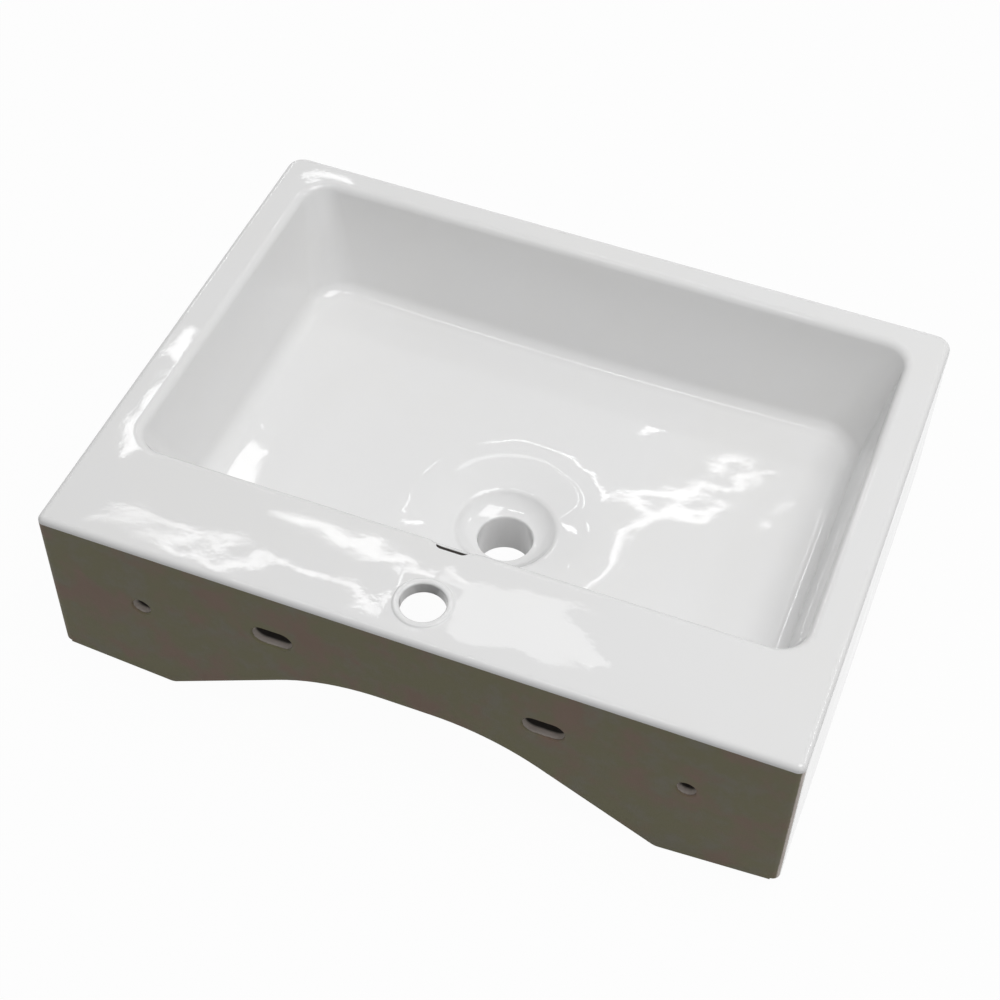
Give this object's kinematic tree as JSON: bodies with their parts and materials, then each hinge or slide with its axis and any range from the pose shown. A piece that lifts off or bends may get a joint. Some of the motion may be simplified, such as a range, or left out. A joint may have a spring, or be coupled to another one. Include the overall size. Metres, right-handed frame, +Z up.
{
  "type": "wall-hung basin",
  "caption": "Rectangular wall-hung ceramic basin with a wide tap ledge, one tap hole, an overflow slot and an unglazed back.",
  "frame": {"origin": "midway between the two wall slots, on the face that meets the wall", "axes": "+X along the wall, +Y into the wall, +Z up; the bowl is on the -Y side"},
  "size_m": [0.6, 0.455, 0.1612],
  "materials": {
    "glaze": "gloss",
    "bare_clay": "matt",
    "glaze_inside": "satin",
    "bare_clay_inside": "matt"
  },
  "bodies": {
    "root": {"rim_and_skirt": "glaze", "bowl": "glaze", "wall_panel": "bare_clay", "overflow_duct": "glaze_inside", "waste_boss": "glaze_inside", "slot_pad_left": "bare_clay_inside", "slot_pad_right": "bare_clay_inside", "web_left": "glaze_inside", "web_right": "glaze_inside"}
  },
  "joints": []
}
